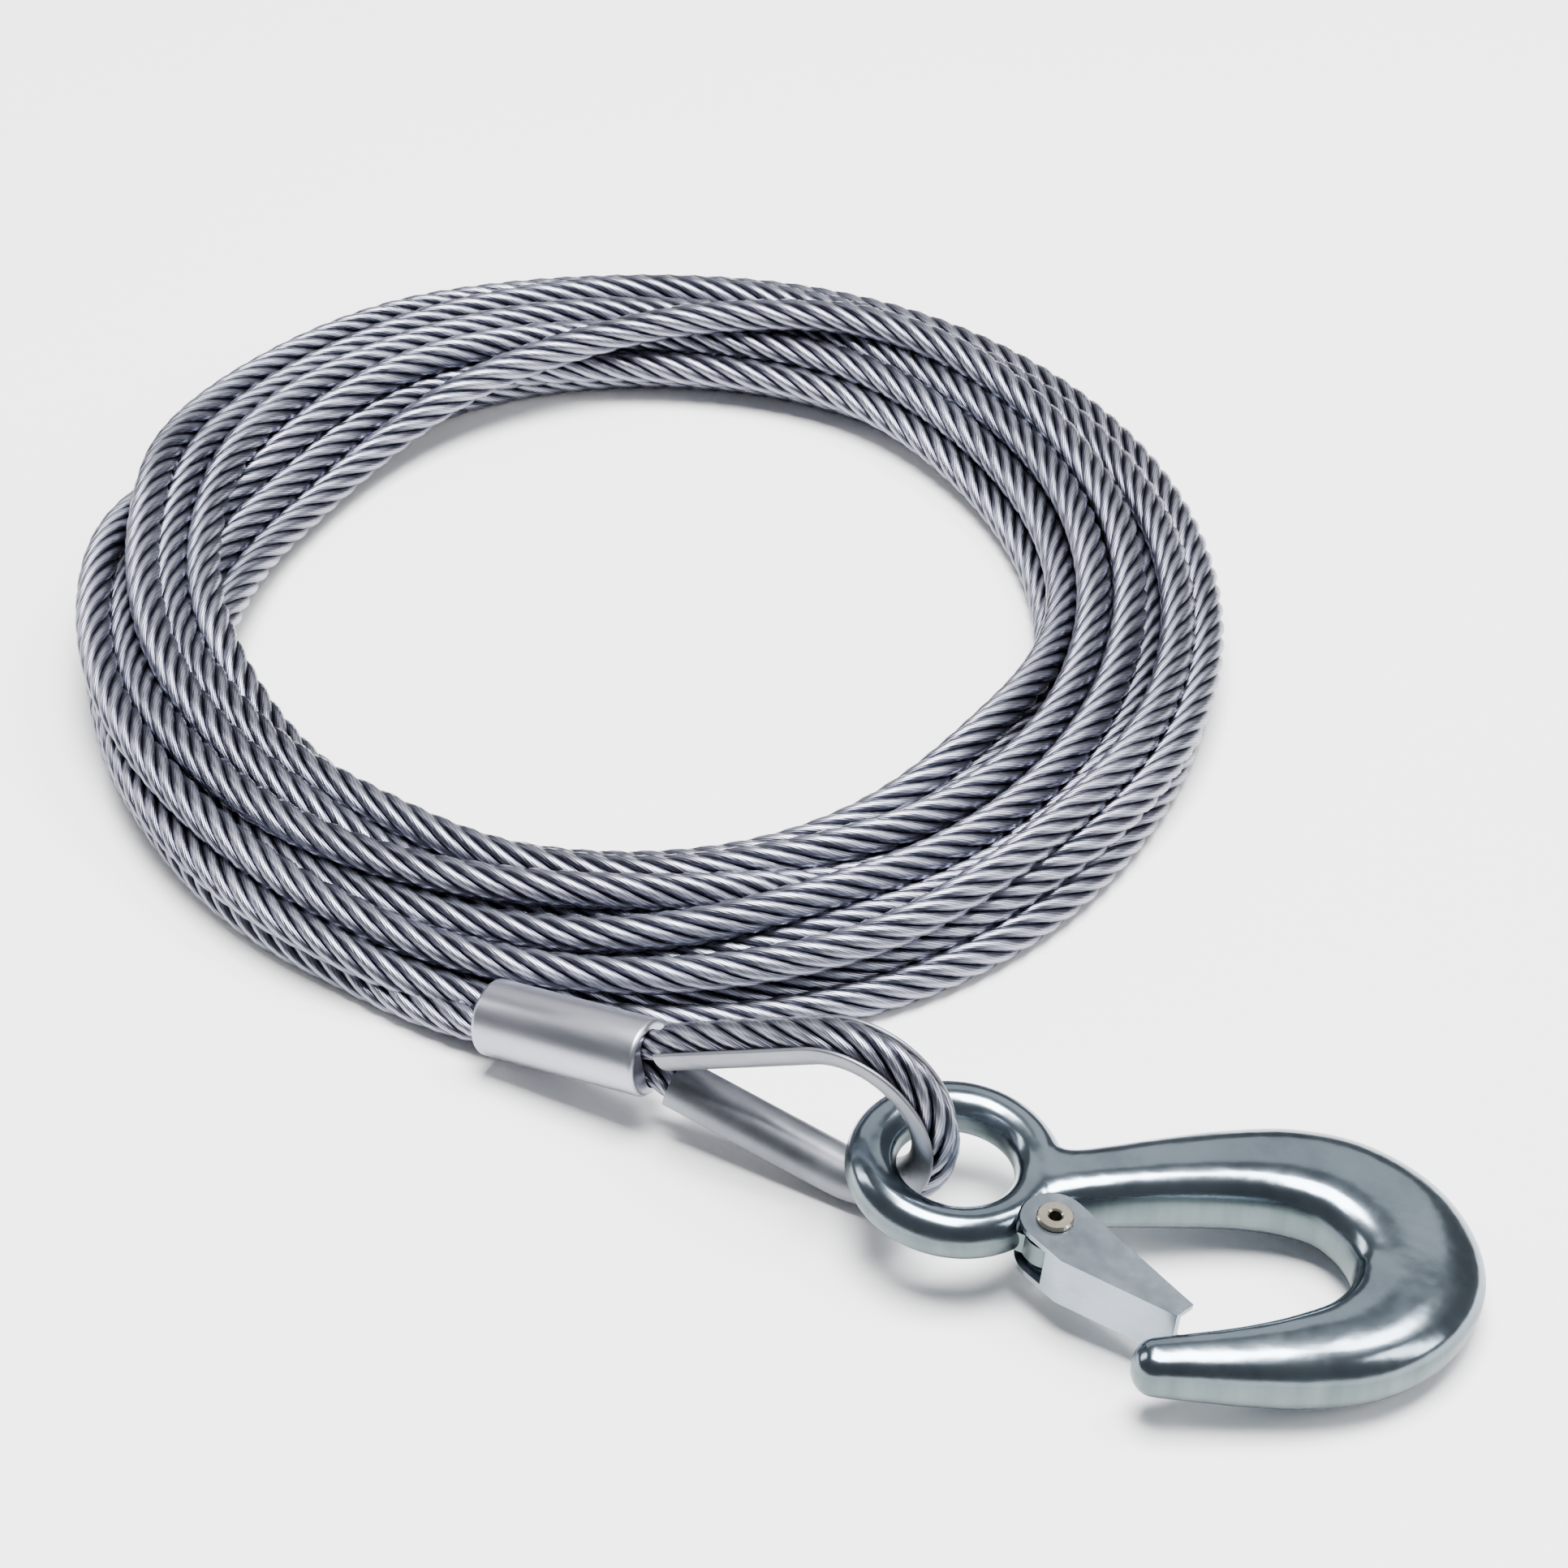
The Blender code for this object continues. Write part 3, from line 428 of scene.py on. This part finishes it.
def plated(name, light, dark, rough, grain, wave, stretch=(1, 1, 1), trimmed_walls_shaded=False):
    """Zinc or bare metal: soft colour patches, waves, fine pits and rubbed spots."""
    n = Nodes(name)
    patch = n.noise(48, 4, stretch)
    speck = n.noise(480, 3, stretch)
    swell = n.noise(150, 2, stretch)
    rubbed = n.noise(95, 5, stretch, 0.7)
    tone = n.ramp(patch, [(0.34, dark), (0.66, light)])
    worn = n.ramp(rubbed, [(0.36, (0.80, 0.81, 0.82)), (0.52, (1.0, 1.0, 1.0))])
    colour = n.mix(0.7, tone, worn, "MULTIPLY")
    low, high = rough
    mixed = n.math("ADD", n.math("MULTIPLY", patch, 0.5), n.math("MULTIPLY", speck, 0.5))
    roughness = n.math("ADD", n.math("MULTIPLY", mixed, (high - low) * 1.8), 1.4 * low - 0.4 * high)
    normal = n.bump(speck, grain, 0.35)
    normal = n.bump(swell, wave, 0.35, normal)
    if trimmed_walls_shaded:
        # The side walls, where the forging's flash was sheared off, are rougher, with shear streaks across
        # their height; their colour is made darker as painted shade
        facing = n.add("ShaderNodeSeparateXYZ")
        n.link(n.add("ShaderNodeTexCoord").outputs["Normal"], facing.inputs[0])
        wall = n.math("SMOOTH_MIN", n.math("ABSOLUTE", facing.outputs[2]), 1.0, 0.1)
        wall = n.math("MULTIPLY", n.math("SUBTRACT", 0.62, wall), 2.6, clamp=True)
        sheared = n.noise(420, 3, (1, 1, 0.12))
        # Painted shade: surfaces that face sideways take these darker colours
        painted_wall_shade = n.ramp(sheared, [(0.3, (0.092, 0.120, 0.124)), (0.7, (0.128, 0.160, 0.166))])
        colour = n.mix(wall, colour, painted_wall_shade)
        roughness = n.math("ADD", roughness, n.math("MULTIPLY", wall, 0.18))
        normal = n.bump(n.math("MULTIPLY", sheared, wall), 0.03 * MM, 0.3, normal)
    return n.finish(colour, roughness, 1.0, normal)


def floor_material():
    """A matt, nearly white floor."""
    n = Nodes("pale_floor")
    patch = n.noise(4, 3)
    colour = n.ramp(patch, [(0.3, (0.90, 0.90, 0.90)), (0.7, (0.92, 0.92, 0.92))])
    return n.finish(colour, 0.6, 0.0)


# The hook


def squared_off(value):
    """A cosine or sine bent so that the section is a rounded square."""
    return copysign(abs(value) ** (2 / SECTION_SQUARENESS), value)


def object_of(name, bm):
    """A scene object from a bmesh, its faces pointing out."""
    bmesh.ops.recalc_face_normals(bm, faces=bm.faces)
    mesh = bpy.data.meshes.new(name)
    bm.to_mesh(mesh)
    bm.free()
    made = bpy.data.objects.new(name, mesh)
    bpy.context.scene.collection.objects.link(made)
    return made


def forging_body():
    """The loft of the shank and bowl with its rounded tip, in the hook's own plane."""
    rows = through(HOOK_STATIONS, 6) * MM
    way = np.gradient(rows[:, :2], axis=0)
    tip_way = way[-1] / np.linalg.norm(way[-1])
    tip = []
    for i in range(1, 8):
        turn = 0.98 * pi / 2 * i / 7
        point = rows[-1, :2] + tip_way * HOOK_TIP_LENGTH * MM * sin(turn)
        tip.append([*point, *(rows[-1, 2:] * cos(turn))])
    rows = np.vstack([rows, tip])
    way = np.gradient(rows[:, :2], axis=0)
    bm = bmesh.new()
    rings = []
    for (x, y, width, thick), (dx, dy) in zip(rows, way):
        length = sqrt(dx * dx + dy * dy)
        ox, oy = -dy / length, dx / length
        ring = []
        for k in range(SECTION_SIDES):
            turn = 2 * pi * k / SECTION_SIDES
            across = squared_off(cos(turn))
            up = squared_off(sin(turn)) * (1 - INNER_SWELL * across)
            place = (x + ox * across * width / 2, y + oy * across * width / 2, up * thick / 2)
            ring.append(bm.verts.new(place))
        rings.append(ring)
    for row, after in zip(rings, rings[1:]):
        for i in range(SECTION_SIDES):
            j = (i + 1) % SECTION_SIDES
            bm.faces.new((row[i], row[j], after[j], after[i]))
    bm.faces.new(rings[0])
    bm.faces.new(rings[-1])
    return object_of("hook_forging", bm)


def forging_ring():
    """The eye's ring, in the hook's own plane."""
    bm = bmesh.new()
    place = Matrix.Translation((EYE_MEAN_RADIUS, 0, 0)) @ Matrix.Rotation(pi / 2, 4, "X")
    bmesh.ops.create_circle(bm, radius=EYE_TUBE_RADIUS, segments=40, matrix=place)
    profile = bm.verts[:] + bm.edges[:]
    bmesh.ops.spin(
        bm, geom=profile, axis=(0, 0, 1), cent=(0, 0, 0), angle=2 * pi, steps=96, use_merge=True
    )
    bmesh.ops.remove_doubles(bm, verts=bm.verts, dist=0.001 * MM)
    return object_of("hook_ring", bm)


def cylinder_of(name, radius, low, high):
    """A cutter about the latch's pivot, between two heights in the hook's own frame."""
    bm = bmesh.new()
    place = Matrix.Translation((PIVOT[0], PIVOT[1], (low + high) / 2))
    bmesh.ops.create_cone(
        bm, cap_ends=True, segments=64, radius1=radius, radius2=radius, depth=high - low, matrix=place
    )
    return object_of(name, bm)


def applied(target, kind, **settings):
    """Adds one modifier to the object and keeps its result as the object's mesh."""
    modifier = target.modifiers.new(kind.lower(), kind)
    for key, value in settings.items():
        setattr(modifier, key, value)
    bpy.context.view_layer.update()
    graph = bpy.context.evaluated_depsgraph_get()
    mesh = bpy.data.meshes.new_from_object(target.evaluated_get(graph))
    target.modifiers.clear()
    target.data = mesh


def combined(target, other, operation):
    """Joins or cuts the object with another one, which is then removed."""
    applied(target, "BOOLEAN", object=other, operation=operation, solver="EXACT")
    bpy.data.objects.remove(other)


def ear():
    """The lug round the pivot that the latch's cheeks straddle."""
    bm = bmesh.new()
    turns = np.radians(np.linspace(-150, 30, 33))
    outline = [(PIVOT[0] + EAR_RADIUS * cos(turn), PIVOT[1] + EAR_RADIUS * sin(turn)) for turn in turns]
    outline += EAR_ROOT
    face = bm.faces.new([bm.verts.new((x, y, -EAR_THICKNESS / 2)) for x, y in outline])
    lifted = bmesh.ops.extrude_face_region(bm, geom=[face])
    raised = [vertex for vertex in lifted["geom"] if isinstance(vertex, bmesh.types.BMVert)]
    bmesh.ops.translate(bm, vec=(0, 0, EAR_THICKNESS), verts=raised)
    return object_of("hook_ear", bm)


def forged_hook(frame_matrix):
    """The whole forging: body and eye in one skin, room for the latch's cheeks, ear and pivot hole."""
    body = forging_body()
    combined(body, forging_ring(), "UNION")
    applied(body, "REMESH", mode="VOXEL", voxel_size=FORGING_VOXEL, use_smooth_shade=True)
    applied(body, "SMOOTH", factor=0.5, iterations=14)
    above = cylinder_of("room_above", CHEEK_ROOM_RADIUS, CHEEK_ROOM_FROM, CHEEK_ROOM_TO)
    combined(body, above, "DIFFERENCE")
    below = cylinder_of("room_below", CHEEK_ROOM_RADIUS, -CHEEK_ROOM_TO, -CHEEK_ROOM_FROM)
    combined(body, below, "DIFFERENCE")
    combined(body, ear(), "UNION")
    combined(body, cylinder_of("pivot_hole", PIVOT_HOLE_RADIUS, -15 * MM, 15 * MM), "DIFFERENCE")
    body.data.transform(frame_matrix)
    body.data.shade_smooth()
    body.data.set_sharp_from_angle(angle=radians(38))
    body.name = "hook_forging"
    return body


# The thimble and the ferrule, about the pull line: x along it, z up


def eye_half(first, leg_points, bow_points):
    """Rope centres of the eye's upper half, from a place on the leg to the bow's far side."""
    touch = THIMBLE_REACH - EYE_ROPE_RADIUS * sin(THIMBLE_LEG_ANGLE)
    x = np.linspace(first, touch, leg_points, endpoint=False)
    z = EYE_ROPE_RADIUS * cos(THIMBLE_LEG_ANGLE) - (touch - x) * tan(THIMBLE_LEG_ANGLE)
    turn = np.linspace(pi / 2 + THIMBLE_LEG_ANGLE, 0, bow_points)
    bow = np.stack([THIMBLE_REACH + EYE_ROPE_RADIUS * np.cos(turn), EYE_ROPE_RADIUS * np.sin(turn)], 1)
    return np.vstack([np.stack([x, z], 1), bow])


def on_line(points):
    """Points of the pull line's own frame, placed beside the coil."""
    c, s = cos(LINE_PITCH), sin(LINE_PITCH)
    x, y, z = np.asarray(points, float).T
    return np.stack([x * c - z * s, y, LINE_START_Z + x * s + z * c], 1)


def skin(name, rings, closed_along=False):
    """A smooth skin over rings of points; the last ring joins the first, or both ends are filled."""
    bm = bmesh.new()
    rows = [[bm.verts.new(point) for point in ring] for ring in rings]
    for row, after in zip(rows, rows[1:] + rows[:1] if closed_along else rows[1:]):
        for i in range(len(row)):
            j = (i + 1) % len(row)
            bm.faces.new((row[i], row[j], after[j], after[i]))
    if not closed_along:
        bm.faces.new(rows[0])
        bm.faces.new(rows[-1])
    made = object_of(name, bm)
    made.data.shade_smooth()
    made.data.set_sharp_from_angle(angle=radians(40))
    return made


def thimble_channel():
    """The bent U channel, its flanges' lips rounded."""
    half_wall = (GROOVE_OUTER - GROOVE_RADIUS) / 2
    turn = np.linspace(pi / 2, 3 * pi / 2, 25)
    outer = np.stack([GROOVE_OUTER * np.cos(turn), GROOVE_OUTER * np.sin(turn)], 1)
    inner = np.stack([GROOVE_RADIUS * np.cos(turn), GROOVE_RADIUS * np.sin(turn)], 1)[::-1]
    lip_turn = np.linspace(-pi / 2, pi / 2, 9)
    lip = np.stack([np.cos(lip_turn), np.sin(lip_turn)], 1) * half_wall
    reach = np.array([THIMBLE_FLANGE - half_wall, GROOVE_OUTER - half_wall])
    section = np.vstack([outer, lip + reach * (1, -1), inner, lip + reach])
    meets = GROOVE_OUTER * cos(THIMBLE_LEG_ANGLE) + TOUCH_GAP / 2
    first = THIMBLE_REACH - EYE_ROPE_RADIUS * sin(THIMBLE_LEG_ANGLE)
    first -= (EYE_ROPE_RADIUS * cos(THIMBLE_LEG_ANGLE) - meets) / tan(THIMBLE_LEG_ANGLE)
    upper = eye_half(first, 8, 30)
    path = np.vstack([upper, (upper * (1, -1))[-2::-1]])
    heading = np.gradient(path, axis=0)
    heading /= np.linalg.norm(heading, axis=1)[:, None]
    rings = []
    for (x, z), (dx, dz) in zip(path, heading):
        rings.append(on_line([(x - dz * out, side, z + dx * out) for out, side in section]))
    return skin("thimble_channel", rings)


def pressed_ferrule():
    """A short tube with rounded ends, pressed round, over an oval bore for both runs of the rope."""
    turn = np.linspace(0, 2 * pi, 96, endpoint=False)
    circle = np.stack([np.cos(turn), np.sin(turn)], 1)
    bore = ROPE_RADIUS * PRESSED_SHARE + TOUCH_GAP
    oval = circle * bore + np.stack([0 * turn, np.where(circle[:, 1] >= 0, 1, -1) * PRESSED_OFFSET], 1)
    half = [(0.25 * MM, oval), (0.0, oval * 1.02)]
    for bend in np.linspace(0, pi / 2, 7):
        radius = FERRULE_RADIUS - FERRULE_EDGE * (1 - sin(bend))
        half.append((FERRULE_EDGE * (1 - cos(bend)), circle * radius))
    rows = half + [(FERRULE_LENGTH - x, ring) for x, ring in half[::-1]]
    rings = [on_line([(x, y, z) for y, z in ring]) for x, ring in rows]
    return skin("pressed_ferrule", rings, closed_along=True)


# The scene

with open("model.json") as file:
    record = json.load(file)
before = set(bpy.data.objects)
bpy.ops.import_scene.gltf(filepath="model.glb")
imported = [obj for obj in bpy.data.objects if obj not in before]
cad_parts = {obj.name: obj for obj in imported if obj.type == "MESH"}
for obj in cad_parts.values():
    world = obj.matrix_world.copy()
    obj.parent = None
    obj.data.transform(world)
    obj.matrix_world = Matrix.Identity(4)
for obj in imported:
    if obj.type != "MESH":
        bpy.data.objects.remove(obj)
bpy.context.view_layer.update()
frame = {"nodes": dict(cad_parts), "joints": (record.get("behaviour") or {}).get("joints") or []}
joints = {joint["name"]: joint for joint in frame["joints"]}
low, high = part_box("rope_coil")
shift = Vector(((low.x + high.x) / 2 - COIL_CENTRE[0], (low.y + high.y) / 2 - COIL_CENTRE[1], 0))

camera_data = bpy.data.cameras.new("camera")
camera_data.lens = CAMERA_LENS
camera_data.sensor_width = 36.0
camera_data.clip_start = 0.01
camera = bpy.data.objects.new("camera", camera_data)
bpy.context.scene.collection.objects.link(camera)
camera.location = Vector(CAMERA_PLACE) + shift
looking = Vector(CAMERA_TARGET) + shift - camera.location
camera.rotation_euler = looking.to_track_quat("-Z", "Y").to_euler()
bpy.context.scene.camera = camera

line, share, rope_length = rope_line()
line = line + np.array(shift)
rope = stranded_rope("wire_rope", line, share)
rope.data.materials.append(rope_material())
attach(rope, "cable")
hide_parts("rope_coil", "rope_eye")

finishes = {
    "ferrule": plated(
        "pressed_aluminium",
        light=(0.40, 0.41, 0.46),
        dark=(0.26, 0.27, 0.31),
        rough=(0.24, 0.40),
        grain=0.01 * MM,
        wave=0.12 * MM,
        stretch=(0.12, 1, 1),
    ),
    "thimble": plated(
        "bent_zinc",
        light=(0.24, 0.25, 0.28),
        dark=(0.17, 0.18, 0.20),
        rough=(0.36, 0.52),
        grain=0.03 * MM,
        wave=0.15 * MM,
    ),
    "latch": plated(
        "sheet_zinc",
        light=(0.315, 0.36, 0.41),
        dark=(0.235, 0.27, 0.31),
        rough=(0.20, 0.33),
        grain=0.02 * MM,
        wave=0.05 * MM,
    ),
    "latch_rivet": plated(
        "rivet_nickel",
        light=(0.55, 0.51, 0.42),
        dark=(0.38, 0.35, 0.28),
        rough=(0.20, 0.34),
        grain=0.01 * MM,
        wave=0.02 * MM,
    ),
    "latch_spring": plated(
        "spring_wire",
        light=(0.50, 0.55, 0.68),
        dark=(0.36, 0.40, 0.50),
        rough=(0.14, 0.26),
        grain=0.01 * MM,
        wave=0.02 * MM,
    ),
}
for make, node, slot in (
    (pressed_ferrule, "ferrule", "ferrule_aluminium"),
    (thimble_channel, "thimble", "thimble_zinc"),
):
    piece = make()
    piece.data.transform(Matrix.Translation(shift))
    piece.data.materials.append(finishes.pop(node))
    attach(piece, "cable")
    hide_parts(node)

swing = Vector(joints["hook_swing"]["pos_m"])
hook_matrix = (
    Matrix.Translation(swing)
    @ Matrix.Rotation(HOOK_YAW, 4, "Z")
    @ Matrix.Translation((EYE_SET_OFF, 0, 0))
    @ Matrix.Rotation(HOOK_PITCH, 4, "Y")
)
hook = forged_hook(hook_matrix)
hook.data.materials.clear()
hook.data.materials.append(
    plated(
        "forged_zinc",
        light=(0.25, 0.30, 0.345),
        dark=(0.18, 0.22, 0.26),
        rough=(0.12, 0.22),
        grain=0.03 * MM,
        wave=0.30 * MM,
        # side walls rougher and streaked, with painted shade in their colour
        trimmed_walls_shaded=True,
    )
)
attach(hook, "hook")
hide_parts("snap_hook")

for node, finish in finishes.items():
    mesh = frame["nodes"][node].data
    mesh.materials.clear()
    mesh.materials.append(finish)

floor_mesh = bpy.data.meshes.new("floor")
bm = bmesh.new()
bmesh.ops.create_grid(bm, x_segments=1, y_segments=1, size=FLOOR_HALF_SIDE)
bm.to_mesh(floor_mesh)
bm.free()
floor = bpy.data.objects.new("floor", floor_mesh)
bpy.context.scene.collection.objects.link(floor)
floor_mesh.materials.append(floor_material())


def area_light(name, place, size, power, tall=None):
    """A soft rectangular light that looks at the origin."""
    data = bpy.data.lights.new(name, "AREA")
    data.shape = "RECTANGLE"
    data.size = size
    data.size_y = tall or size
    data.energy = power
    light = bpy.data.objects.new(name, data)
    bpy.context.scene.collection.objects.link(light)
    light.location = place
    light.rotation_euler = (-Vector(place)).to_track_quat("-Z", "Y").to_euler()


area_light("overhead", (0.02, 0.0, 0.95), 0.50, 38.0)
area_light("far_panel", (-0.62, 1.15, 0.95), 2.0, 6.0, tall=0.9)
area_light("right_spot", (0.38, 0.42, 0.95), 0.26, 7.0)
area_light("right_strip", (0.95, 0.15, 0.6), 0.25, 6.0, tall=0.7)
area_light("left_strip", (-0.95, -0.2, 0.55), 0.2, 3.0, tall=0.6)
world = bpy.data.worlds.new("studio")
world.use_nodes = True
world.node_tree.nodes["Background"].inputs["Color"].default_value = (0.90, 0.94, 1.0, 1.0)
world.node_tree.nodes["Background"].inputs["Strength"].default_value = 0.22
bpy.context.scene.world = world
